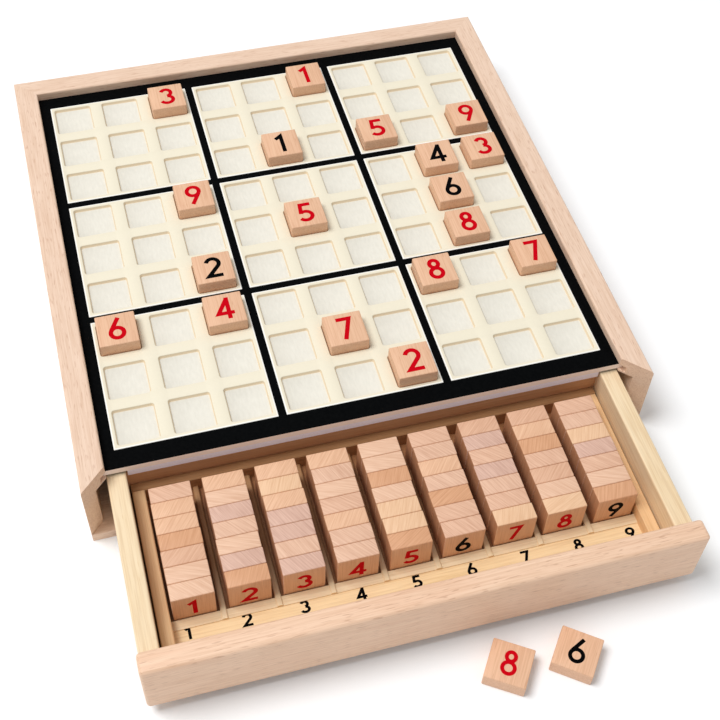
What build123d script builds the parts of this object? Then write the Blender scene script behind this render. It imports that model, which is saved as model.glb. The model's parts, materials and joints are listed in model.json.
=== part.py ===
from build123d import *
import math
import os

# A wooden number-puzzle board. Nine cell blocks lie in a black panel, the panel runs in the grooves of
# a mitred three-sided case, and a drawer under it keeps the spare tiles, sorted in nine slots.
# Millimetres. X runs to the right, Y to the back and Z up. The origin is at the middle of the case's
# underside. The drawer stands open, as it does while the board is in use.

# ---- Driving dimensions -------------------------------------------------------------------------

# Tiles: flat square counters with a number on one face
tile_size = 21.5
tile_thickness = 9.2
tile_easing = 0.55

# Cells: shallow pockets that the tiles drop into, nine to a block
cells_per_side = 3
cell_play = 0.45
cell_depth = 1.9
cell_corner_cut = 1.1
rib_width = 7.2
block_edge_width = 2.2
block_floor = 2.3
block_proud = 0.2
block_play = 0.1

# Black panel with a window for each block, and the board glued under it
blocks_per_side = 3
line_width = 4.4
side_border = 6.3
back_border = 9.7
front_border = 11.2
backing_thickness = 4.2
backing_back_gap = 0.5

# Case rails
rail_width = 13.3
rail_web = 7.0
rail_rise = 5.6
rail_easing = 1.2
rail_foot_easing = 0.8
groove_depth = 3.0
groove_lip = 1.2
panel_edge_play = 0.3
panel_face_play = 0.1
panel_setback = 1.0

# Base panel, let into rebates in the feet of the rails
base_thickness = 6.0
base_rebate = 2.5
base_play = 0.1

# Drawer
drawer_open = 100.0
drawer_set_in = 0.4
drawer_head_play = 0.3
drawer_side_thickness = 10.0
drawer_side_easing = 1.0
drawer_back_thickness = 8.0
bar_depth = 11.6
bar_end_play = 0.3
bar_overhang = 0.9
bar_foot_play = 0.4
bar_top_drop = 1.8
bar_easing = 1.5
bar_end_easing = 0.8
floor_lift = 1.4
floor_thickness = 3.0
floor_groove_depth = 3.0
floor_groove_play = 0.2
bar_groove_depth = 4.0

# Tray on the drawer's floor: rails, dividers, a cross band and a strip for the numbers
tray_gap = 1.0
tray_rail_height = 9.6
tray_easing = 0.5
tray_side_width = 6.55
tray_back_width = 5.3
divider_width = 3.0
divider_height = 2.8
band_depth = 5.2
band_height = 1.8
label_depth = 21.3
label_height = 1.2

# Spare tiles standing on edge in the slots, one slot for each number
slot_count = 9
tiles_per_slot = 7
stack_gap = 0.1
stack_front_play = 0.5
stack_back_room = 7.4
stack_head_play = 0.3

# Tiles on the board: row from the back, column from the left, colour and number
board_tiles = (
    (1, 3, "red", 3),
    (1, 6, "red", 1),
    (3, 5, "black", 1),
    (3, 7, "red", 5),
    (3, 9, "red", 9),
    (4, 3, "red", 9),
    (4, 8, "black", 4),
    (4, 9, "red", 3),
    (5, 5, "red", 5),
    (5, 8, "black", 6),
    (6, 3, "black", 2),
    (6, 8, "red", 8),
    (7, 1, "red", 6),
    (7, 3, "red", 4),
    (7, 7, "red", 8),
    (7, 9, "red", 7),
    (8, 5, "red", 7),
    (9, 6, "red", 2),
)

# Two tiles lying in front of the open drawer: colour, number, turn and gap to the drawer
first_loose_x = 32.0
loose_spacing = 4.5
loose_tiles = (
    ("red", 8, -33.5, 7.9),
    ("black", 6, -37.0, 10.3),
)

# ---- Sizes that follow ---------------------------------------------------------------------------

# Board
cell_size = tile_size + 2 * cell_play
cell_pitch = cell_size + rib_width
block_size = cells_per_side * cell_size + (cells_per_side - 1) * rib_width + 2 * block_edge_width
block_thickness = cell_depth + block_floor
block_pitch = block_size + line_width
grid_size = blocks_per_side * block_size + (blocks_per_side - 1) * line_width

# Case, in plan
case_half_width = grid_size / 2 + side_border + rail_width
case_depth = rail_width + back_border + grid_size + front_border + panel_setback + rail_width
case_back = case_depth / 2
case_front = -case_depth / 2
rail_inner_x = case_half_width - rail_width
rail_inner_back = case_back - rail_width
grid_centre_y = rail_inner_back - back_border - grid_size / 2
panel_front = grid_centre_y - grid_size / 2 - front_border

# Heights, from the base up: the spare tiles set how far the panel stands above the drawer's floor
drawer_floor_bottom = base_thickness + floor_lift
drawer_floor_top = drawer_floor_bottom + floor_thickness
stack_top = drawer_floor_top + tile_size
backing_bottom = stack_top + stack_head_play
panel_bottom = backing_bottom + backing_thickness
panel_thickness = block_thickness - block_proud
panel_top = panel_bottom + panel_thickness
flange_bottom = panel_bottom - groove_lip
case_height = panel_top + rail_rise
drawer_top = flange_bottom - drawer_head_play
bar_bottom = base_thickness + bar_foot_play
bar_top = case_height - bar_top_drop

# Drawer, in plan and as it stands open. When it is closed the bar fills the case's open front, with
# its back corners just short of the rails' 45 degree ends.
bar_half_width = case_half_width - drawer_set_in - bar_depth - bar_end_play
drawer_side_outer = bar_half_width - bar_overhang
drawer_side_inner = drawer_side_outer - drawer_side_thickness
tray_half_width = drawer_side_inner - tray_gap
slots_half_width = tray_half_width - tray_side_width
slot_pitch = (2 * slots_half_width + divider_width) / slot_count
stack_pitch = tile_thickness + stack_gap
stack_depth = tiles_per_slot * stack_pitch - stack_gap
slot_depth = stack_front_play + stack_depth + stack_back_room
bar_front = case_front + drawer_set_in - drawer_open
bar_back = bar_front + bar_depth
band_front = bar_back + label_depth
slot_front = band_front + band_depth
slot_back = slot_front + slot_depth
tray_back = slot_back + tray_back_width
drawer_back = tray_back + drawer_back_thickness
stack_centre_y = slot_front + stack_front_play + stack_depth / 2
floor_half_width = drawer_side_inner + floor_groove_depth - floor_groove_play
floor_front = bar_back - bar_groove_depth + floor_groove_play
floor_back = tray_back + floor_groove_depth - floor_groove_play

os.makedirs("parts", exist_ok=True)


def keep(part, label):
    """Name a finished piece and write it."""
    part.label = label
    export_step(part, f"parts/{label}.step")


# ---- Case rails ----------------------------------------------------------------------------------

# Section of every rail, from its outer face inwards and from its foot up: a web with a rebate for the
# base, and a flange with a groove for the panel
rail_section = (
    (0, 0),
    (rail_web - base_rebate, 0),
    (rail_web - base_rebate, base_thickness),
    (rail_web, base_thickness),
    (rail_web, flange_bottom),
    (rail_width, flange_bottom),
    (rail_width, panel_bottom),
    (rail_width - groove_depth, panel_bottom),
    (rail_width - groove_depth, panel_top + panel_face_play),
    (rail_width, panel_top + panel_face_play),
    (rail_width, case_height),
    (0, case_height),
)


def make_rail(section_plane, length, plan):
    """Run the section along the rail, then cut both ends to the plan's 45 degree lines."""
    with BuildPart() as rail:
        with BuildSketch(section_plane) as section:
            with BuildLine():
                Polyline(*rail_section, close=True)
            make_face()
            fillet(section.vertices().group_by(Axis.Y)[-1], rail_easing)
            fillet(section.vertices().group_by(Axis.Y)[0].sort_by(Axis.X)[0], rail_foot_easing)
        extrude(amount=length)
        with BuildSketch(Plane.XY):
            with BuildLine():
                Polyline(*plan, close=True)
            make_face()
        extrude(amount=case_height, mode=Mode.INTERSECT)
    return rail.part


def make_side_rail(side):
    """side is -1 on the left and 1 on the right."""
    start = Plane(
        origin=(side * case_half_width, -side * case_back, 0),
        x_dir=(-side, 0, 0),
        z_dir=(0, side, 0),
    )
    plan = (
        (side * case_half_width, case_front),
        (side * rail_inner_x, case_front + rail_width),
        (side * rail_inner_x, rail_inner_back),
        (side * case_half_width, case_back),
    )
    return make_rail(start, case_depth, plan)


keep(make_side_rail(-1), "left_rail")
keep(make_side_rail(1), "right_rail")

back_rail_start = Plane(origin=(case_half_width, case_back, 0), x_dir=(0, -1, 0), z_dir=(-1, 0, 0))
back_rail_plan = (
    (-case_half_width, case_back),
    (-rail_inner_x, rail_inner_back),
    (rail_inner_x, rail_inner_back),
    (case_half_width, case_back),
)
keep(make_rail(back_rail_start, 2 * case_half_width, back_rail_plan), "back_rail")

# ---- Base panel ----------------------------------------------------------------------------------

base_inset = rail_web - base_rebate + base_play
base_half_width = case_half_width - base_inset
base_back = case_back - base_inset

# Its front corners fill the wedges under the 45 degree ends, so that its front edge runs the full width
base_front_half_width = case_half_width - base_play
base_shoulder_y = case_front + base_inset - base_play

with BuildPart() as base_panel:
    with BuildSketch(Plane.XY):
        with BuildLine():
            Polyline(
                (-base_front_half_width, case_front),
                (base_front_half_width, case_front),
                (base_half_width, base_shoulder_y),
                (base_half_width, base_back),
                (-base_half_width, base_back),
                (-base_half_width, base_shoulder_y),
                close=True,
            )
        make_face()
    extrude(amount=base_thickness)
keep(base_panel.part, "base_panel")

# ---- Black panel and the board under it ----------------------------------------------------------

panel_half_width = rail_inner_x + groove_depth - panel_edge_play
panel_back = rail_inner_back + groove_depth - panel_edge_play
window_size = block_size + 2 * block_play

with BuildPart() as grid_frame:
    with BuildSketch(Plane.XY.offset(panel_bottom)):
        with Locations((0, (panel_front + panel_back) / 2)):
            Rectangle(2 * panel_half_width, panel_back - panel_front)
        with Locations((0, grid_centre_y)):
            with GridLocations(block_pitch, block_pitch, blocks_per_side, blocks_per_side):
                Rectangle(window_size, window_size, mode=Mode.SUBTRACT)
    extrude(amount=panel_thickness)
keep(grid_frame.part, "grid_frame")

backing_back = rail_inner_back - backing_back_gap

with BuildPart() as backing_board:
    with BuildSketch(Plane.XY.offset(backing_bottom)):
        with Locations((0, (panel_front + backing_back) / 2)):
            Rectangle(2 * tray_half_width, backing_back - panel_front)
    extrude(amount=backing_thickness)
keep(backing_board.part, "backing_board")

# ---- Cell blocks, counted from the back left -----------------------------------------------------


def step_from_middle(index, count):
    """How many steps the item with this index stands from the middle of a row of count items."""
    return index - (count - 1) / 2


def make_cell_block(centre_x, centre_y):
    """A square tray with nine blind pockets, seated in its window."""
    with BuildPart() as block:
        with BuildSketch(Plane((centre_x, centre_y, panel_bottom))):
            Rectangle(block_size, block_size)
        extrude(amount=block_thickness)
        with BuildSketch(Plane((centre_x, centre_y, panel_bottom + block_thickness))) as cells:
            with GridLocations(cell_pitch, cell_pitch, cells_per_side, cells_per_side):
                Rectangle(cell_size, cell_size)
            chamfer(cells.vertices(), cell_corner_cut)
        extrude(amount=-cell_depth, mode=Mode.SUBTRACT)
    return block.part


for block_row in range(blocks_per_side):
    for block_column in range(blocks_per_side):
        block_x = block_pitch * step_from_middle(block_column, blocks_per_side)
        block_y = grid_centre_y - block_pitch * step_from_middle(block_row, blocks_per_side)
        block_number = 1 + block_column + blocks_per_side * block_row
        keep(make_cell_block(block_x, block_y), f"cell_block_{block_number}")

# ---- Tiles on the board and beside it ------------------------------------------------------------


def make_flat_tile(place):
    """A tile lying on the place's plane, centred on its origin."""
    with BuildPart() as tile:
        with BuildSketch(place):
            Rectangle(tile_size, tile_size)
        extrude(amount=tile_thickness)
        chamfer(tile.edges(), tile_easing)
    return tile.part


def cell_offset(index):
    """Distance of a cell's middle from the grid's middle, for a zero-based row or column."""
    block_index, cell_index = divmod(index, cells_per_side)
    in_block = cell_pitch * step_from_middle(cell_index, cells_per_side)
    return block_pitch * step_from_middle(block_index, blocks_per_side) + in_block


cell_floor = panel_bottom + block_floor

for row, column, colour, number in board_tiles:
    tile_x = cell_offset(column - 1)
    tile_y = grid_centre_y - cell_offset(row - 1)
    tile_place = Plane((tile_x, tile_y, cell_floor))
    keep(make_flat_tile(tile_place), f"tile_row{row}_column{column}_{colour}_{number}")


def turned_half_width(turn):
    """Half the width that a tile takes up across, when it is turned by this many degrees."""
    angle = math.radians(turn)
    return tile_size * (abs(math.cos(angle)) + abs(math.sin(angle))) / 2


loose_x = first_loose_x
previous_half_width = 0
for colour, number, turn, gap in loose_tiles:
    half_width = turned_half_width(turn)
    if previous_half_width:
        loose_x += previous_half_width + loose_spacing + half_width
    previous_half_width = half_width
    loose_place = Plane((loose_x, bar_front - gap - half_width, 0)).rotated((0, 0, turn))
    keep(make_flat_tile(loose_place), f"loose_tile_{colour}_{number}")

# ---- Drawer box ----------------------------------------------------------------------------------

with BuildPart() as drawer_front:
    with BuildSketch(Plane.XY.offset(bar_bottom)):
        with Locations((0, (bar_front + bar_back) / 2)):
            Rectangle(2 * bar_half_width, bar_depth)
    extrude(amount=bar_top - bar_bottom)
    fillet(drawer_front.edges().filter_by(Axis.X), bar_easing)
    bar_ends = drawer_front.faces().sort_by(Axis.X)
    chamfer(bar_ends[0].edges() + bar_ends[-1].edges(), bar_end_easing)
    with BuildSketch(Plane.XY.offset(drawer_floor_bottom)):
        with Locations((0, bar_back - bar_groove_depth / 2)):
            Rectangle(2 * (floor_half_width + floor_groove_play), bar_groove_depth)
    extrude(amount=floor_thickness + floor_groove_play, mode=Mode.SUBTRACT)
keep(drawer_front.part, "drawer_front")

# Section of a drawer side, from its outer face inwards: a plain board with a groove for the floor
drawer_side_section = (
    (0, base_thickness),
    (drawer_side_thickness, base_thickness),
    (drawer_side_thickness, drawer_floor_bottom),
    (drawer_side_thickness - floor_groove_depth, drawer_floor_bottom),
    (drawer_side_thickness - floor_groove_depth, drawer_floor_top + floor_groove_play),
    (drawer_side_thickness, drawer_floor_top + floor_groove_play),
    (drawer_side_thickness, drawer_top),
    (0, drawer_top),
)


def make_drawer_side(side):
    """side is -1 on the left and 1 on the right."""
    start_y = bar_back if side > 0 else drawer_back
    start = Plane(
        origin=(side * drawer_side_outer, start_y, 0),
        x_dir=(-side, 0, 0),
        z_dir=(0, side, 0),
    )
    with BuildPart() as drawer_side:
        with BuildSketch(start) as section:
            with BuildLine():
                Polyline(*drawer_side_section, close=True)
            make_face()
            fillet(section.vertices().group_by(Axis.Y)[-1], drawer_side_easing)
        extrude(amount=drawer_back - bar_back)
    return drawer_side.part


keep(make_drawer_side(-1), "drawer_left_side")
keep(make_drawer_side(1), "drawer_right_side")

with BuildPart() as drawer_back_wall:
    with BuildSketch(Plane.XY.offset(base_thickness)):
        with Locations((0, tray_back + drawer_back_thickness / 2)):
            Rectangle(2 * drawer_side_inner, drawer_back_thickness)
    extrude(amount=stack_top - base_thickness)
    with BuildSketch(Plane.XY.offset(drawer_floor_bottom)):
        with Locations((0, tray_back + floor_groove_depth / 2)):
            Rectangle(2 * drawer_side_inner, floor_groove_depth)
    extrude(amount=floor_thickness + floor_groove_play, mode=Mode.SUBTRACT)
    fillet(drawer_back_wall.edges().filter_by(Axis.X).group_by(Axis.Z)[-1], drawer_side_easing)
keep(drawer_back_wall.part, "drawer_back")

with BuildPart() as drawer_floor:
    with BuildSketch(Plane.XY.offset(drawer_floor_bottom)):
        with Locations((0, (floor_front + floor_back) / 2)):
            Rectangle(2 * floor_half_width, floor_back - floor_front)
    extrude(amount=floor_thickness)
keep(drawer_floor.part, "drawer_floor")

# ---- Tray on the drawer's floor ------------------------------------------------------------------


def make_tray_side(side):
    """side is -1 on the left and 1 on the right."""
    with BuildPart() as tray_side:
        with BuildSketch(Plane.XY.offset(drawer_floor_top)):
            with Locations((side * (tray_half_width - tray_side_width / 2), (bar_back + slot_back) / 2)):
                Rectangle(tray_side_width, slot_back - bar_back)
        extrude(amount=tray_rail_height)
        chamfer(tray_side.edges().filter_by(Axis.Y).group_by(Axis.Z)[-1], tray_easing)
    return tray_side.part


keep(make_tray_side(-1), "tray_left_rail")
keep(make_tray_side(1), "tray_right_rail")

with BuildPart() as tray_back_rail:
    with BuildSketch(Plane.XY.offset(drawer_floor_top)):
        with Locations((0, slot_back + tray_back_width / 2)):
            Rectangle(2 * tray_half_width, tray_back_width)
    extrude(amount=tray_rail_height)
    chamfer(tray_back_rail.edges().filter_by(Axis.X).group_by(Axis.Z)[-1], tray_easing)
keep(tray_back_rail.part, "tray_back_rail")

with BuildPart() as tray_front_band:
    with BuildSketch(Plane.XY.offset(drawer_floor_top)):
        with Locations((0, band_front + band_depth / 2)):
            Rectangle(2 * slots_half_width, band_depth)
    extrude(amount=band_height)
keep(tray_front_band.part, "tray_front_band")

with BuildPart() as label_strip:
    with BuildSketch(Plane.XY.offset(drawer_floor_top)):
        with Locations((0, bar_back + label_depth / 2)):
            Rectangle(2 * slots_half_width, label_depth)
    extrude(amount=label_height)
keep(label_strip.part, "label_strip")

# Each divider runs along its slot and laps over the band as far as the band's front edge
with BuildPart() as tray_dividers:
    with BuildSketch(Plane.XY.offset(drawer_floor_top)):
        with Locations((0, slot_front + slot_depth / 2)):
            with GridLocations(slot_pitch, slot_depth, slot_count - 1, 1):
                Rectangle(divider_width, slot_depth)
    extrude(amount=divider_height)
    with BuildSketch(Plane.XY.offset(drawer_floor_top + band_height)):
        with Locations((0, band_front + band_depth / 2)):
            with GridLocations(slot_pitch, band_depth, slot_count - 1, 1):
                Rectangle(divider_width, band_depth)
    extrude(amount=divider_height - band_height)
    chamfer(tray_dividers.edges().filter_by(Axis.Y).group_by(Axis.Z)[-1], tray_easing)
keep(tray_dividers.part, "tray_dividers")

# ---- Spare tiles in the slots --------------------------------------------------------------------


def make_tile_stack(centre_x):
    """Tiles standing on edge one behind the other, faces to the front."""
    with BuildPart() as stack:
        with BuildSketch(Plane.XY.offset(drawer_floor_top)):
            with Locations((centre_x, stack_centre_y)):
                with GridLocations(tile_size, stack_pitch, 1, tiles_per_slot):
                    Rectangle(tile_size, tile_thickness)
        extrude(amount=tile_size)
        chamfer(stack.edges(), tile_easing)
    return stack.part


for slot in range(slot_count):
    keep(make_tile_stack(slot_pitch * step_from_middle(slot, slot_count)), f"spare_tiles_{slot + 1}")
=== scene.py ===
"""Looks of a wooden number-puzzle board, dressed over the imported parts.

Metres. X runs to the right, Y to the back and Z up; the floor is at z = 0.
"""

import json
import math
import random

import bmesh
import bpy
from mathutils import Matrix, Vector


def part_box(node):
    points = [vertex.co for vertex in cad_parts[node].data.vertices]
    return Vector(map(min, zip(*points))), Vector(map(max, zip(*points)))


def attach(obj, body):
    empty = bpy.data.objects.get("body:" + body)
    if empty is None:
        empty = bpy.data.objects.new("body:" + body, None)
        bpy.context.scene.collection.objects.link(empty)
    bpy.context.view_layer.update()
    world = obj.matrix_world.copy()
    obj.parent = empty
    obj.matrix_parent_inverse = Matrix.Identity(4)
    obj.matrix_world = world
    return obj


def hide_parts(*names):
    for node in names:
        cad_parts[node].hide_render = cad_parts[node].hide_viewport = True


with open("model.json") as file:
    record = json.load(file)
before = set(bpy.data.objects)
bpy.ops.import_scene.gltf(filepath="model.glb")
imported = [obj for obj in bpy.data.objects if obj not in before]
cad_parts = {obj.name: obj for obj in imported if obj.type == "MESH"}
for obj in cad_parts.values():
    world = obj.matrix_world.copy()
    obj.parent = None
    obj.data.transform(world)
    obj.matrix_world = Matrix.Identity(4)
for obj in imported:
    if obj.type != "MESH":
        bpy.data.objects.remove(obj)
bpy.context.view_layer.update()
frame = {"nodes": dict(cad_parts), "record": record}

MM = 0.001

# ---- Camera --------------------------------------------------------------------------------------

CAMERA_PLACE = Vector((-121.8, -501.0, 575.0)) * MM
CAMERA_TURN = math.radians(17.64)
CAMERA_DOWN = math.radians(52.26)
CAMERA_ROLL = math.radians(2.80)
CAMERA_LENS = 62.46
SENSOR_WIDTH = 36.0
CAMERA_NEAR = 0.05


def make_camera():
    camera_data = bpy.data.cameras.new("camera")
    camera_data.lens = CAMERA_LENS
    camera_data.sensor_width = SENSOR_WIDTH
    camera_data.clip_start = CAMERA_NEAR
    camera = bpy.data.objects.new("camera", camera_data)
    bpy.context.scene.collection.objects.link(camera)
    ahead = Vector((
        math.sin(CAMERA_TURN) * math.cos(CAMERA_DOWN),
        math.cos(CAMERA_TURN) * math.cos(CAMERA_DOWN),
        -math.sin(CAMERA_DOWN),
    ))
    level_right = Vector((math.cos(CAMERA_TURN), -math.sin(CAMERA_TURN), 0))
    level_up = level_right.cross(ahead)
    right = math.cos(CAMERA_ROLL) * level_right + math.sin(CAMERA_ROLL) * level_up
    up = math.cos(CAMERA_ROLL) * level_up - math.sin(CAMERA_ROLL) * level_right
    turn = Matrix((right, up, -ahead)).transposed()
    camera.matrix_world = Matrix.Translation(CAMERA_PLACE) @ turn.to_4x4()
    bpy.context.scene.camera = camera


make_camera()

# ---- Sizes read from the frame -------------------------------------------------------------------

CELLS = 3
BLOCKS = 3
SLOTS = 9
TILES_PER_SLOT = 7

panel_low, panel_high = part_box("grid_frame")
block_boxes = {n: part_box(f"cell_block_{n}") for n in range(1, BLOCKS * BLOCKS + 1)}
tile_nodes = sorted(n for n in frame["nodes"] if n.startswith("tile_row"))
loose_nodes = sorted(n for n in frame["nodes"] if n.startswith("loose_tile"))
node_body = {n: b for b, ns in frame["record"]["behaviour"]["bodies"].items() for n in ns}

first_tile_low, first_tile_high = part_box(tile_nodes[0])
TILE = first_tile_high.x - first_tile_low.x
TILE_THICK = first_tile_high.z - first_tile_low.z

# ---- Material helpers ----------------------------------------------------------------------------

BLACK = (0, 0, 0)
GREY = (0.5, 0.5, 0.5)
WHITE = (1, 1, 1)
PLAIN_SPACE = (1, 1, 1)

# The colour sockets of Blender's Mix node, which has a set of sockets for each kind of value.
MIX_FIRST = 6
MIX_SECOND = 7
MIX_RESULT = 2


class Shader:
    """A small node tree builder for one material."""

    def __init__(self, name):
        self.material = bpy.data.materials.new(name)
        self.material.use_nodes = True
        self.tree = self.material.node_tree
        self.tree.nodes.clear()
        self.output = self.add("ShaderNodeOutputMaterial")
        self.surface = self.add("ShaderNodeBsdfPrincipled")
        self.link(self.surface.outputs["BSDF"], self.output.inputs["Surface"])

    def add(self, kind, **settings):
        node = self.tree.nodes.new(kind)
        for key, value in settings.items():
            setattr(node, key, value)
        return node

    def link(self, start, end):
        self.tree.links.new(start, end)

    def space(self, stretch, turn=(0, 0, 0)):
        """The piece's own coordinates, turned and then stretched.

        A pattern runs long in the direction where the stretch is small.
        """
        coordinates = self.add("ShaderNodeTexCoord")
        turning = self.add("ShaderNodeMapping")
        turning.inputs["Rotation"].default_value = turn
        stretching = self.add("ShaderNodeMapping")
        stretching.inputs["Scale"].default_value = stretch
        self.link(coordinates.outputs["Object"], turning.inputs["Vector"])
        self.link(turning.outputs["Vector"], stretching.inputs["Vector"])
        return stretching.outputs["Vector"]

    def noise(self, vector, scale, detail=3.0, roughness=0.5, distortion=0.0):
        node = self.add("ShaderNodeTexNoise")
        node.inputs["Scale"].default_value = scale
        node.inputs["Detail"].default_value = detail
        node.inputs["Roughness"].default_value = roughness
        node.inputs["Distortion"].default_value = distortion
        self.link(vector, node.inputs["Vector"])
        return node.outputs["Fac"]

    def ramp(self, value, *stops):
        node = self.add("ShaderNodeValToRGB")
        elements = node.color_ramp.elements
        while len(elements) < len(stops):
            elements.new(0.5)
        for element, (place, colour) in zip(elements, stops):
            element.position = place
            element.color = (*colour, 1)
        self.link(value, node.inputs["Fac"])
        return node.outputs["Color"]

    def mix(self, factor, first, second, blend="MIX"):
        node = self.add("ShaderNodeMix", data_type="RGBA", blend_type=blend)
        sockets = (node.inputs["Factor"], node.inputs[MIX_FIRST], node.inputs[MIX_SECOND])
        for socket, value in zip(sockets, (factor, first, second)):
            if isinstance(value, bpy.types.NodeSocket):
                self.link(value, socket)
            elif isinstance(value, (int, float)):
                socket.default_value = value
            else:
                socket.default_value = (*value, 1)
        return node.outputs[MIX_RESULT]

    def bump(self, height, strength, distance):
        node = self.add("ShaderNodeBump")
        node.inputs["Strength"].default_value = strength
        node.inputs["Distance"].default_value = distance
        self.link(height, node.inputs["Height"])
        self.link(node.outputs["Normal"], self.surface.inputs["Normal"])

    def finish(self, colour, roughness, specular=0.35):
        if isinstance(colour, bpy.types.NodeSocket):
            self.link(colour, self.surface.inputs["Base Color"])
        else:
            self.surface.inputs["Base Color"].default_value = (*colour, 1)
        self.surface.inputs["Roughness"].default_value = roughness
        self.surface.inputs["Specular IOR Level"].default_value = specular
        return self.material


def linear(red, green, blue):
    """A colour given in the usual 0 to 255 screen values."""

    def channel(value):
        value = value / 255
        return value / 12.92 if value <= 0.04045 else ((value + 0.055) / 1.055) ** 2.4

    return (channel(red), channel(green), channel(blue))


# Stretch of each pattern of the wood along the grain, and its size: the larger the scale, the finer.
STREAK_ALONG = 0.05
FLECK_ALONG = 0.1
FINE_ALONG = 0.03
STREAK_SCALE = 420
DRIFT_SCALE = 22
FLECK_SCALE = 1500
FINE_SCALE = 1500
FINE_SHADE = (0.90, 0.86, 0.82)
FLECK_SOFTNESS = 0.08
FLECK_STRENGTH = 0.5
WOOD_ROUGHNESS = 0.48


def along(grain, share):
    """A stretch that is 1 across the grain, and share along its axis."""
    return tuple(share if axis == grain else 1.0 for axis in "XYZ")


def wood(name, light, dark, fleck, grain, fleck_share=0.62, turn=(0, 0, 0)):
    """Close-grained wood: long soft streaks, slow tonal drift, fine lines and short dark flecks."""
    shader = Shader(name)
    streak_space = shader.space(along(grain, STREAK_ALONG), turn)
    streaks = shader.noise(streak_space, STREAK_SCALE, detail=5, roughness=0.6, distortion=0.15)
    tone = shader.ramp(streaks, (0.3, light), (0.74, dark))
    drift = shader.noise(shader.space(PLAIN_SPACE, turn), DRIFT_SCALE, detail=2)
    colour = shader.mix(shader.ramp(drift, (0.35, BLACK), (0.75, GREY)), tone, light)
    fine_lines = shader.noise(shader.space(along(grain, FINE_ALONG), turn), FINE_SCALE, detail=2)
    fine_tone = shader.ramp(fine_lines, (0.36, FINE_SHADE), (0.58, WHITE))
    colour = shader.mix(1.0, colour, fine_tone, blend="MULTIPLY")
    fleck_space = shader.space(along(grain, FLECK_ALONG), turn)
    flecks = shader.noise(fleck_space, FLECK_SCALE, detail=1.5, roughness=0.4)
    speck = shader.ramp(flecks, (fleck_share, BLACK), (fleck_share + FLECK_SOFTNESS, WHITE))
    colour = shader.mix(shader.mix(FLECK_STRENGTH, BLACK, speck), colour, fleck)
    shader.bump(streaks, 0.12, 0.0002)
    return shader.finish(colour, WOOD_ROUGHNESS)


# ---- Materials -----------------------------------------------------------------------------------

BEECH_LIGHT = linear(236, 208, 186)
BEECH_DARK = linear(226, 194, 170)
BEECH_FLECK = linear(186, 142, 114)
BAR_LIGHT = linear(240, 206, 178)
BAR_DARK = linear(231, 190, 160)
TILE_LIGHT = linear(232, 189, 156)
TILE_DARK = linear(224, 177, 144)
TILE_FLECK = linear(200, 148, 114)
# The front faces of the spare tiles: a little darker than the board tiles' wood, a painted shade for the
# drawer's shade.
FACE_SHADE_LIGHT = linear(228, 186, 153)
FACE_SHADE_DARK = linear(218, 173, 139)
# Darker browns for the sides of the spare tiles: painted shade for the narrow gaps between the rows.
SIDE_SHADE_LIGHT = linear(196, 144, 108)
SIDE_SHADE_DARK = linear(182, 128, 92)
PALE_LIGHT = linear(240, 219, 185)
PALE_DARK = linear(232, 205, 164)
PALE_FLECK = linear(218, 186, 140)
TRAY_LIGHT = linear(238, 200, 153)
TRAY_DARK = linear(226, 182, 132)
# Tan for the tray's back rail and the dividers' back parts: painted shade for the shadow under the panel
# and in the gaps between the tile rows.
SHADE_TAN_LIGHT = linear(182, 138, 96)
SHADE_TAN_DARK = linear(166, 122, 82)
LABEL_LIGHT = linear(244, 216, 172)
LABEL_DARK = linear(238, 206, 156)
# Darker browns for the drawer back: painted shade for the deep shadow under the panel.
BACK_WALL_SHADE_LIGHT = linear(218, 170, 128)
BACK_WALL_SHADE_DARK = linear(202, 154, 114)
# Deep browns for the drawer floor: painted shade for the shadow in the drawer under the tiles and the
# panel.
FLOOR_SHADE_LIGHT = linear(164, 114, 74)
FLOOR_SHADE_DARK = linear(148, 98, 62)

case_wood_y = wood("case_wood_y", BEECH_LIGHT, BEECH_DARK, BEECH_FLECK, "Y")
case_wood_x = wood("case_wood_x", BEECH_LIGHT, BEECH_DARK, BEECH_FLECK, "X")
bar_wood = wood("bar_wood", BAR_LIGHT, BAR_DARK, BEECH_FLECK, "X")
tile_wood = wood("tile_wood", TILE_LIGHT, TILE_DARK, TILE_FLECK, "Y", fleck_share=0.66)
spare_face_wood = wood("spare_face_wood", FACE_SHADE_LIGHT, FACE_SHADE_DARK, TILE_FLECK, "Z", fleck_share=0.66)
spare_side_wood = wood("spare_side_wood", SIDE_SHADE_LIGHT, SIDE_SHADE_DARK, SIDE_SHADE_DARK, "Z", fleck_share=0.7)
side_wood = wood("side_wood", PALE_LIGHT, PALE_DARK, PALE_FLECK, "Y", fleck_share=0.68)
tray_wood_y = wood("tray_wood_y", TRAY_LIGHT, TRAY_DARK, TRAY_DARK, "Y", fleck_share=0.7)
tray_wood_x = wood("tray_wood_x", PALE_LIGHT, PALE_DARK, PALE_FLECK, "X", fleck_share=0.7)
label_wood = wood("label_wood", LABEL_LIGHT, LABEL_DARK, PALE_FLECK, "X", fleck_share=0.72)
# The drawer floor's wood carries painted shade.
floor_wood = wood("floor_wood", FLOOR_SHADE_LIGHT, FLOOR_SHADE_DARK, FLOOR_SHADE_DARK, "X", fleck_share=0.7)
wall_wood = wood("wall_wood", BACK_WALL_SHADE_LIGHT, BACK_WALL_SHADE_DARK, BACK_WALL_SHADE_DARK, "X", fleck_share=0.7)
tray_back_wood = wood("tray_back_wood", SHADE_TAN_LIGHT, SHADE_TAN_DARK, SHADE_TAN_DARK, "X", fleck_share=0.7)
base_wood = wood("base_wood", BEECH_LIGHT, BEECH_DARK, BEECH_FLECK, "X")


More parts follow.
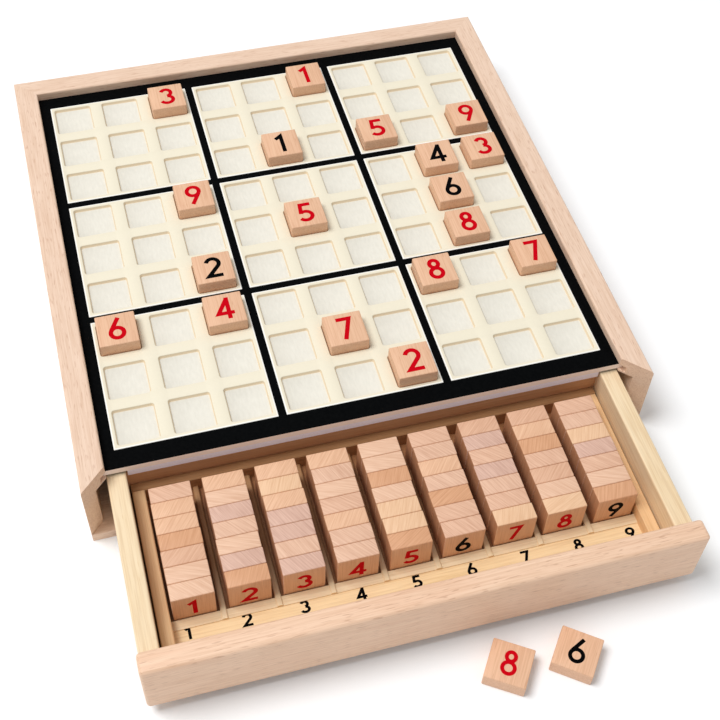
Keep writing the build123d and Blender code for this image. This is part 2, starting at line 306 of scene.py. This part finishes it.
def plain(name, colour, roughness, grain_size=900, contrast=0.04, specular=0.35, bump=0.05):
    """A painted or printed surface with a faint mottle."""
    shader = Shader(name)
    mottle = shader.noise(shader.space(PLAIN_SPACE), grain_size, detail=3)
    darker = tuple(c * (1 - contrast * 2) for c in colour)
    tone = shader.ramp(mottle, (0.3, darker), (0.7, colour))
    shader.bump(mottle, bump, 0.0001)
    return shader.finish(tone, roughness, specular)


backing_white = plain("backing_white", linear(246, 240, 250), 0.6)
rib_cream = plain("rib_cream", linear(235, 227, 205), 0.55, contrast=0.01, bump=0.03)
rim_white = plain("rim_white", linear(254, 252, 246), 0.5)
# Tan on the pocket walls: painted shade, the ribs' cream darkened where the walls stand in shade.
cell_wall_tan = plain("cell_wall_tan", linear(232, 213, 182), 0.55, contrast=0.01, bump=0.03)
print_red = plain("print_red", linear(200, 4, 22), 0.6, specular=0.02)
print_black = plain("print_black", linear(5, 5, 6), 0.6, specular=0.02)


def make_cell_floor_material():
    """Greyish white with a faint brushed grain."""
    shader = Shader("cell_floor")
    strokes = shader.noise(shader.space((1.0, 0.3, 1.0)), 700, detail=3)
    tone = shader.ramp(strokes, (0.3, linear(222, 218, 206)), (0.7, linear(229, 225, 213)))
    shader.bump(strokes, 0.03, 0.0001)
    return shader.finish(tone, 0.6)


cell_floor_material = make_cell_floor_material()

# The painted shade on the dividers comes in over this many tiles from the front.
SHADE_IN_TILES = 3


def make_divider_shade_material():
    """Pale at the free front ends, and darker further back: painted shade for the gaps between the rows
    of tiles.
    """
    shader = Shader("divider_wood")
    tiles_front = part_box("spare_tiles_1")[0].y
    coordinates = shader.add("ShaderNodeTexCoord")
    split = shader.add("ShaderNodeSeparateXYZ")
    shader.link(coordinates.outputs["Object"], split.inputs["Vector"])
    depth = shader.add("ShaderNodeMapRange", interpolation_type="SMOOTHSTEP")
    depth.inputs["From Min"].default_value = tiles_front
    depth.inputs["From Max"].default_value = tiles_front + SHADE_IN_TILES * TILE_THICK
    shader.link(split.outputs["Y"], depth.inputs["Value"])
    streaks = shader.noise(shader.space(along("Y", STREAK_ALONG)), STREAK_SCALE, detail=4)
    pale = shader.ramp(streaks, (0.3, PALE_LIGHT), (0.7, PALE_DARK))
    dark = shader.ramp(streaks, (0.3, SHADE_TAN_LIGHT), (0.7, SHADE_TAN_DARK))
    shader.bump(streaks, 0.1, 0.0002)
    return shader.finish(shader.mix(depth.outputs["Result"], pale, dark), 0.5)


divider_wood = make_divider_shade_material()

STACK_WOODS = 16
STACK_SEED = 5
STACK_TINTS = (
    (linear(232, 192, 165), linear(208, 164, 137)),
    (linear(234, 190, 156), linear(214, 166, 132)),
    (linear(222, 184, 165), linear(196, 156, 138)),
    (linear(237, 198, 162), linear(219, 175, 137)),
    (linear(230, 188, 160), linear(206, 160, 132)),
    (linear(220, 168, 130), linear(200, 146, 108)),
    (linear(235, 196, 168), linear(215, 171, 141)),
    (linear(226, 182, 152), linear(206, 158, 128)),
)
STACK_LINE_STRETCH = (0.05, 1.0, 0.6)
STACK_LINE_SCALE = 1300
LEAST_LINE_TURN = 0.35
MOST_LINE_TURN = 1.2


def make_stack_materials():
    """Woods for the cut edges of the spare tiles: the tints in turn, each with its own fine lines."""
    draw = random.Random(STACK_SEED)
    made = []
    for index in range(STACK_WOODS):
        light, dark = STACK_TINTS[index % len(STACK_TINTS)]
        shader = Shader(f"stack_wood_{index + 1}")
        turn = (0, 0, (-1) ** index * draw.uniform(LEAST_LINE_TURN, MOST_LINE_TURN))
        line_space = shader.space(STACK_LINE_STRETCH, turn)
        lines = shader.noise(line_space, STACK_LINE_SCALE, detail=3, roughness=0.6)
        tone = shader.ramp(lines, (0.34, light), (0.7, dark))
        shader.bump(lines, 0.06, 0.0001)
        made.append(shader.finish(tone, 0.5))
    return made


stack_materials = make_stack_materials()

# ---- Mesh helpers --------------------------------------------------------------------------------


def link_mesh(name, mesh, materials):
    """A new object with this mesh and these materials."""
    for material in materials:
        mesh.materials.append(material)
    piece = bpy.data.objects.new(name, mesh)
    bpy.context.scene.collection.objects.link(piece)
    return piece


def add_rounded_box(target, low, high, radius, segments=3, material_index=0, turn=None):
    """Adds a box with rounded edges to a bmesh. If there is a turn, that matrix moves it last."""
    box = bmesh.new()
    bmesh.ops.create_cube(box, size=1)
    centre = (low + high) / 2
    size = high - low
    for vertex in box.verts:
        vertex.co = Vector((vertex.co.x * size.x, vertex.co.y * size.y, vertex.co.z * size.z)) + centre
    bmesh.ops.bevel(
        box,
        geom=list(box.edges),
        offset=radius,
        segments=segments,
        profile=0.5,
        affect="EDGES",
        clamp_overlap=True,
    )
    if turn is not None:
        bmesh.ops.transform(box, matrix=turn, verts=box.verts)
    for face in box.faces:
        face.material_index = material_index
        face.smooth = True
    made = bpy.data.meshes.new("box")
    box.to_mesh(made)
    box.free()
    target.from_mesh(made)
    bpy.data.meshes.remove(made)


def finish_mesh(name, work, materials, sharp_angle=40):
    """Turns a bmesh into an object. Edges steeper than the angle, in degrees, stay sharp."""
    mesh = bpy.data.meshes.new(name)
    work.to_mesh(mesh)
    work.free()
    piece = link_mesh(name, mesh, materials)
    mesh.set_sharp_from_angle(angle=math.radians(sharp_angle))
    return piece


# ---- Digits --------------------------------------------------------------------------------------

# Every digit is drawn about one unit high, with its foot at y = 0 and its middle near x = 0. A
# stroke is a list of points; an arc gives its centre, radii and its first and last angle in degrees.


def arc(centre_x, centre_y, radius_x, radius_y, first, last, steps=20):
    points = []
    for step in range(steps + 1):
        angle = math.radians(first + (last - first) * step / steps)
        points.append((centre_x + radius_x * math.cos(angle), centre_y + radius_y * math.sin(angle)))
    return points


STROKE = 0.16
HALF = STROKE / 2
SHORTEST_STEP = 1e-6
MITRE_LIMIT = 0.35
PRINT_RISE = 0.05 * MM
STROKE_RISE = 0.15
# Tile tops stand this much lower than the solids', so that the print stays inside them.
PRINT_ROOM = 0.06 * MM


def digit_strokes(digit):
    """Centre lines of the digit's strokes, and whether each one closes on itself."""
    if digit == 1:
        return [([(-0.21, 0.76), (0.03, 0.93), (0.03, 0.0)], False)]
    if digit == 2:
        top = arc(0.0, 0.69, 0.235, 0.235, 165, -35, 18)
        return [(top + [(-0.23, 0.075), (0.30, 0.075)], False)]
    if digit == 3:
        upper = arc(-0.01, 0.715, 0.205, 0.2, 158, -82, 18)
        lower = arc(-0.01, 0.297, 0.245, 0.21, 82, -160, 20)
        return [(upper, False), (lower, False)]
    if digit == 4:
        return [([(0.33, 0.27), (-0.26, 0.27), (0.13, 0.93)], False), ([(0.13, 1.0), (0.13, 0.0)], False)]
    if digit == 5:
        bowl = arc(-0.03, 0.315, 0.255, 0.23, 128, -148, 20)
        return [(bowl, False), ([(0.25, 0.915), (-0.14, 0.915), (-0.19, 0.44)], False)]
    if digit == 6:
        bowl = arc(0, 0.315, 0.315 - HALF, 0.315 - HALF, 0, 360, 28)
        return [(bowl, True), ([(-0.20, 0.45), (0.10, 1.0)], False)]
    if digit == 7:
        return [([(-0.26, 0.925), (0.22, 0.925), (-0.10, 0.0)], False)]
    if digit == 8:
        upper = arc(0, 0.745, 0.165, 0.18, 0, 360, 24)
        lower = arc(0, 0.30, 0.225, 0.225, 0, 360, 28)
        return [(upper, True), (lower, True)]
    # A nine is a six turned upside down.
    return [([(-x, 1 - y) for x, y in line], closed) for line, closed in digit_strokes(6)]


def stroke_sides(line, closed, half_width):
    """The left and right edge of a stroke, mitred where it turns."""
    left = []
    right = []
    count = len(line)
    for index, (x, y) in enumerate(line):
        point = Vector((x, y))
        before = Vector(line[index - 1]) if index > 0 or closed else None
        after = Vector(line[(index + 1) % count]) if index < count - 1 or closed else None
        ways = []
        if before is not None and (point - before).length > SHORTEST_STEP:
            ways.append((point - before).normalized())
        if after is not None and (after - point).length > SHORTEST_STEP:
            ways.append((after - point).normalized())
        normals = [Vector((-way.y, way.x)) for way in ways]
        middle = sum(normals, Vector((0, 0))).normalized()
        reach = half_width / max(MITRE_LIMIT, middle.dot(normals[0]))
        left.append(point + middle * reach)
        right.append(point - middle * reach)
    return left, right


def add_digit(target, digit, place, height, thickness, stroke=STROKE):
    """Adds the digit to a bmesh as thin strips. The matrix place puts it on the part.

    Each further stroke stands a little higher, so that no two strokes share a face where they cross.
    """
    for order, (line, closed) in enumerate(digit_strokes(digit)):
        points = line[:-1] if closed else line
        left, right = stroke_sides(points, closed, stroke / 2)
        rise = thickness * (1 + STROKE_RISE * order)
        rows = []
        for a, b in zip(left, right):
            corners = []
            for point, level in ((a, 0.0), (a, rise), (b, rise), (b, 0.0)):
                local = Vector((point.x * height, (point.y - 0.5) * height, level))
                corners.append(target.verts.new(place @ local))
            rows.append(corners)
        following = rows[1:] + rows[:1] if closed else rows[1:]
        for near, far in zip(rows, following):
            for side in range(3):
                target.faces.new((near[side], far[side], far[side + 1], near[side + 1]))
        if not closed:
            target.faces.new(rows[0])
            target.faces.new(list(reversed(rows[-1])))


def make_digit(name, digit, place, height, body, red, stroke=STROKE):
    work = bmesh.new()
    add_digit(work, digit, place, height, PRINT_RISE, stroke)
    bmesh.ops.recalc_face_normals(work, faces=work.faces)
    piece = finish_mesh(name, work, [print_red if red else print_black])
    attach(piece, body)


# ---- Case ----------------------------------------------------------------------------------------


def dress(node, material):
    """Gives a CAD node its material."""
    slots = frame["nodes"][node].data.materials
    slots.clear()
    slots.append(material)


NODE_MATERIALS = {
    "left_rail": case_wood_y,
    "right_rail": case_wood_y,
    "back_rail": case_wood_x,
    "base_panel": base_wood,
    "backing_board": backing_white,
    "drawer_left_side": side_wood,
    "drawer_right_side": side_wood,
    # The drawer back, the drawer floor and the tray's back rail take darkened woods: painted shade for
    # the shadow under the panel.
    "drawer_back": wall_wood,
    "drawer_floor": floor_wood,
    "tray_left_rail": tray_wood_y,
    "tray_right_rail": tray_wood_y,
    "tray_back_rail": tray_back_wood,
    "tray_front_band": tray_wood_x,
    "tray_dividers": divider_wood,
    "label_strip": label_wood,
}
for node, material in NODE_MATERIALS.items():
    dress(node, material)

# ---- Black panel ---------------------------------------------------------------------------------

EDGE_REACH = 0.02 * MM
PAINT_OVER_EDGE = 0.35 * MM


def make_panel_material():
    """Black paint on the faces and just over the edges, and bare wood where the front edge is cut."""
    shader = Shader("panel_paint")
    coordinates = shader.add("ShaderNodeTexCoord")
    split = shader.add("ShaderNodeSeparateXYZ")
    shader.link(coordinates.outputs["Object"], split.inputs["Vector"])
    front = shader.add("ShaderNodeMath", operation="LESS_THAN")
    front.inputs[1].default_value = panel_low.y + EDGE_REACH
    shader.link(split.outputs["Y"], front.inputs[0])
    under = shader.add("ShaderNodeMath", operation="LESS_THAN")
    under.inputs[1].default_value = panel_high.z - PAINT_OVER_EDGE
    shader.link(split.outputs["Z"], under.inputs[0])
    both = shader.add("ShaderNodeMath", operation="MULTIPLY")
    shader.link(front.outputs[0], both.inputs[0])
    shader.link(under.outputs[0], both.inputs[1])
    mottle = shader.noise(shader.space(PLAIN_SPACE), 700, detail=3)
    black = shader.ramp(mottle, (0.3, linear(4, 5, 6)), (0.7, linear(9, 10, 11)))
    colour = shader.mix(both.outputs[0], black, linear(248, 230, 218))
    shader.bump(mottle, 0.05, 0.0001)
    return shader.finish(colour, 0.6, specular=0.02)


dress("grid_frame", make_panel_material())

# ---- Cell blocks ---------------------------------------------------------------------------------

POCKET_RADIUS = 1.5 * MM
RIM_EASE = 0.35 * MM
WALL_DRAFT = 0.3 * MM
WHITE_RIM = 0.7 * MM
CELL_PLAY = 0.45 * MM
RIB = 7.2 * MM
CELL_DEPTH = 1.9 * MM
BLOCK_CORNER = 0.3 * MM
BLOCK_EASE = 0.15 * MM
FOOT_EASE = 0.25 * MM
RIM_BEND = 0.3
BLOCK_SHARP_ANGLE = 50
BLOCK_MATERIALS = [rib_cream, rim_white, cell_floor_material, cell_wall_tan]
CREAM_FACE, WHITE_FACE, FLOOR_FACE, SHADED_WALL_FACE = range(len(BLOCK_MATERIALS))


def rounded_square(centre, half, radius, steps=5):
    """Corner points of a rounded square, anticlockwise."""
    points = []
    for quarter in range(4):
        start = math.radians(90 * quarter)
        across, up = math.cos(start), math.sin(start)
        corner = Vector((across - up, up + across)) * (half - radius)
        for step in range(steps + 1):
            angle = start + math.radians(90 * step / steps)
            points.append(centre + corner + Vector((math.cos(angle), math.sin(angle))) * radius)
    return points


def add_loop(work, points, height):
    return [work.verts.new((p.x, p.y, height)) for p in points]


def join_loops(work, lower, upper, material_index):
    count = len(lower)
    for index in range(count):
        after = (index + 1) % count
        face = work.faces.new((lower[index], lower[after], upper[after], upper[index]))
        face.material_index = material_index
        face.smooth = True


def make_cell_block(number, low, high):
    """Ribs with softened rims, pockets with sloping walls and a white edge all round."""
    work = bmesh.new()
    centre = Vector(((low.x + high.x) / 2, (low.y + high.y) / 2))
    half = (high.x - low.x) / 2
    pitch = TILE + 2 * CELL_PLAY + RIB
    cell_half = TILE / 2 + CELL_PLAY
    floor = high.z - CELL_DEPTH
    outline = rounded_square(centre, half, BLOCK_CORNER, 2)
    eased = rounded_square(centre, half - BLOCK_EASE, BLOCK_CORNER, 2)
    inner = rounded_square(centre, half - WHITE_RIM, BLOCK_CORNER, 2)
    foot = add_loop(work, outline, low.z)
    side = add_loop(work, outline, high.z - BLOCK_EASE)
    edge = add_loop(work, eased, high.z)
    rim = add_loop(work, inner, high.z)
    work.faces.new(list(reversed(foot)))
    join_loops(work, foot, side, WHITE_FACE)
    join_loops(work, side, edge, WHITE_FACE)
    join_loops(work, edge, rim, WHITE_FACE)
    holes = []
    for row in range(CELLS):
        for column in range(CELLS):
            middle = centre + Vector(((column - 1) * pitch, (row - 1) * pitch))
            levels = (
                (cell_half + RIM_EASE, high.z),
                (cell_half + RIM_EASE * RIM_BEND, high.z - RIM_EASE * RIM_BEND),
                (cell_half, high.z - RIM_EASE),
                (cell_half - WALL_DRAFT, floor + FOOT_EASE),
                (cell_half - WALL_DRAFT - FOOT_EASE, floor),
            )
            loops = [
                add_loop(work, rounded_square(middle, reach, POCKET_RADIUS + (reach - cell_half)), height)
                for reach, height in levels
            ]
            for depth, (upper, lower) in enumerate(zip(loops, loops[1:])):
                # Walls below the rim take the tan of the painted shade.
                join_loops(work, lower, upper, SHADED_WALL_FACE if depth > 1 else CREAM_FACE)
            bottom = work.faces.new(loops[-1])
            bottom.material_index = FLOOR_FACE
            holes.append(loops[0])
    edges = []
    for loop in [rim] + holes:
        for index, vertex in enumerate(loop):
            edges.append(work.edges.get((vertex, loop[(index + 1) % len(loop)])))
    filled = bmesh.ops.triangle_fill(work, use_beauty=True, use_dissolve=False, edges=edges)
    for face in filled["geom"]:
        if isinstance(face, bmesh.types.BMFace):
            face.material_index = CREAM_FACE
    bmesh.ops.recalc_face_normals(work, faces=work.faces)
    piece = finish_mesh(f"cells_{number}", work, BLOCK_MATERIALS, BLOCK_SHARP_ANGLE)
    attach(piece, "case")
    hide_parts(f"cell_block_{number}")


for number, (low, high) in block_boxes.items():
    make_cell_block(number, low, high)

# ---- Tiles ---------------------------------------------------------------------------------------

TILE_EDGE = 0.6 * MM
BOARD_DIGIT = 15.2 * MM
LOOSE_DIGIT = 13.6 * MM
LOOSE_STROKE = 0.145
SLOT_DIGIT = 12.8 * MM
SLOT_STROKE = 0.175
LABEL_DIGIT = 6.8 * MM


def make_board_tile(node):
    """A tile on the board. The node's name gives its row, column, colour and number."""
    row, column, colour, number = node.removeprefix("tile_row").replace("column", "").split("_")
    low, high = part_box(node)
    high.z -= PRINT_ROOM
    work = bmesh.new()
    add_rounded_box(work, low, high, TILE_EDGE)
    tile = finish_mesh(f"board_tile_{row}_{column}", work, [tile_wood])
    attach(tile, node_body[node])
    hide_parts(node)
    top = Matrix.Translation(Vector(((low.x + high.x) / 2, (low.y + high.y) / 2, high.z)))
    make_digit(f"number_{row}_{column}", int(number), top, BOARD_DIGIT, node_body[node], colour == "red")


for node in tile_nodes:
    make_board_tile(node)

LOOSE_TURNS = {"red_8": math.radians(-33.5), "black_6": math.radians(-37.0)}
LOOSE_TRIM = 0.1 * MM


def make_loose_tile(node):
    """A tile on the table, turned about its own middle."""
    key = node.removeprefix("loose_tile_")
    colour, number = key.split("_")
    low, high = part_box(node)
    middle = Vector(((low.x + high.x) / 2, (low.y + high.y) / 2, 0))
    turn = Matrix.Translation(middle) @ Matrix.Rotation(LOOSE_TURNS[key], 4, "Z")
    corner = Vector((TILE / 2 - LOOSE_TRIM, TILE / 2 - LOOSE_TRIM, 0))
    height = TILE_THICK - PRINT_ROOM
    work = bmesh.new()
    add_rounded_box(work, -corner, corner + Vector((0, 0, height)), TILE_EDGE, turn=turn)
    grain_turn = (0, 0, -LOOSE_TURNS[key])
    tile_material = wood(
        f"loose_wood_{key}", TILE_LIGHT, TILE_DARK, TILE_FLECK, "Y", fleck_share=0.66, turn=grain_turn
    )
    tile = finish_mesh(f"loose_{key}", work, [tile_material])
    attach(tile, node_body[node])
    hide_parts(node)
    top = turn @ Matrix.Translation(Vector((0, 0, height)))
    name = f"loose_number_{key}"
    make_digit(name, int(number), top, LOOSE_DIGIT, node_body[node], colour == "red", LOOSE_STROKE)


for node in loose_nodes:
    make_loose_tile(node)

# ---- Spare tiles in the drawer -------------------------------------------------------------------

BLACK_SLOTS = (6, 9)
STAND_UP = Matrix.Rotation(math.radians(90), 4, "X")
STACK_GAP = 0.1 * MM
# A face looks forward or sideways where its normal goes at least this far that way.
FACING = 0.8
# A tile is set aside by up to this many millimetres, and no side of it stands further past the
# solid's than MOST_OUTSIDE.
ASIDE = 0.25
MOST_OUTSIDE = 0.2 * MM
STACK_DRAW_SEED = 11
FACE_SHADE_INDEX = STACK_WOODS
SIDE_SHADE_INDEX = STACK_WOODS + 1


def make_stack(slot, draw):
    """A row of spare tiles that stand on edge, each set a little to one side."""
    node = f"spare_tiles_{slot}"
    low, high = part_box(node)
    work = bmesh.new()
    for index in range(TILES_PER_SLOT):
        front = low.y + index * (TILE_THICK + STACK_GAP)
        aside = draw.uniform(-ASIDE, ASIDE) * MM
        add_rounded_box(
            work,
            Vector((low.x + max(aside, -MOST_OUTSIDE), front, low.z)),
            Vector((high.x + min(aside, MOST_OUTSIDE), front + TILE_THICK, high.z)),
            TILE_EDGE,
            material_index=draw.randrange(STACK_WOODS),
        )
    work.normal_update()
    # Front faces and sides get darker woods: painted shade for the drawer's shade and for the gaps
    # between the rows.
    for face in work.faces:
        if face.normal.y < -FACING:
            face.material_index = FACE_SHADE_INDEX
        elif abs(face.normal.x) > FACING:
            face.material_index = SIDE_SHADE_INDEX
    stack = finish_mesh(f"stack_{slot}_tiles", work, stack_materials + [spare_face_wood, spare_side_wood])
    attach(stack, node_body[node])
    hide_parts(node)
    front_middle = Vector(((low.x + high.x) / 2, low.y, (low.z + high.z) / 2))
    place = Matrix.Translation(front_middle) @ STAND_UP
    red = slot not in BLACK_SLOTS
    make_digit(f"stack_{slot}_number", slot, place, SLOT_DIGIT, node_body[node], red, SLOT_STROKE)


stack_draw = random.Random(STACK_DRAW_SEED)
for slot in range(1, SLOTS + 1):
    make_stack(slot, stack_draw)

# ---- Numbers printed on the label strip ----------------------------------------------------------

strip_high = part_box("label_strip")[1]
LABEL_FROM_BACK = 3.6 * MM
LABEL_PITCH = 28.9 * MM
LABEL_STROKE = 0.19
LABEL_WIDEN = 1.15
LABEL_SHIFT = 0.8 * MM
LABEL_SLANT = 0.3 * MM

for slot in range(1, SLOTS + 1):
    steps = slot - (SLOTS + 1) / 2
    label_x = LABEL_PITCH * steps + LABEL_SHIFT
    label_y = strip_high.y - LABEL_FROM_BACK - LABEL_SLANT * steps
    label_place = Vector((label_x, label_y, strip_high.z))
    place = Matrix.Translation(label_place) @ Matrix.Diagonal((LABEL_WIDEN, 1, 1, 1))
    make_digit(f"label_{slot}", slot, place, LABEL_DIGIT, "drawer", False, LABEL_STROKE)

# ---- Drawer front --------------------------------------------------------------------------------

BAR_EDGE = 2.1 * MM


def make_drawer_front():
    """The bar, with the same rounding on all its edges. The solid's ends are chamfered instead."""
    low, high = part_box("drawer_front")
    work = bmesh.new()
    add_rounded_box(work, low, high, BAR_EDGE, segments=5)
    front = finish_mesh("drawer_bar", work, [bar_wood])
    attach(front, "drawer")
    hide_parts("drawer_front")


make_drawer_front()

# ---- Floor and light -----------------------------------------------------------------------------

FLOOR_HALF = 6.0
FLOOR_WHITE = (0.955, 0.97, 0.985)
KEY_SIZE = 1.9
KEY_PLACE = Vector((-1.45, 0.2, 3.4))
KEY_AIM = Vector((0, -0.05, 0))
KEY_POWER = 99
WORLD_STRENGTH = 0.5


def make_floor():
    mesh = bpy.data.meshes.new("floor")
    corners = [(x * FLOOR_HALF, y * FLOOR_HALF, 0) for x, y in ((-1, -1), (1, -1), (1, 1), (-1, 1))]
    mesh.from_pydata(corners, [], [(0, 1, 2, 3)])
    floor_white = plain("floor_white", FLOOR_WHITE, 0.9, grain_size=40, contrast=0.0, bump=0)
    floor = link_mesh("floor", mesh, [floor_white])


def make_key_light():
    """One large soft light, high up on the left."""
    light_data = bpy.data.lights.new("key", "AREA")
    light_data.shape = "DISK"
    light_data.size = KEY_SIZE
    light_data.energy = KEY_POWER
    light = bpy.data.objects.new("key", light_data)
    bpy.context.scene.collection.objects.link(light)
    light.location = KEY_PLACE
    light.rotation_euler = (KEY_AIM - KEY_PLACE).to_track_quat("-Z", "Y").to_euler()


def make_world():
    world = bpy.data.worlds.new("world")
    world.use_nodes = True
    background = world.node_tree.nodes["Background"]
    background.inputs["Color"].default_value = (*WHITE, 1)
    background.inputs["Strength"].default_value = WORLD_STRENGTH
    bpy.context.scene.world = world


make_floor()
make_world()
make_key_light()
bpy.context.scene.view_settings.view_transform = "Standard"
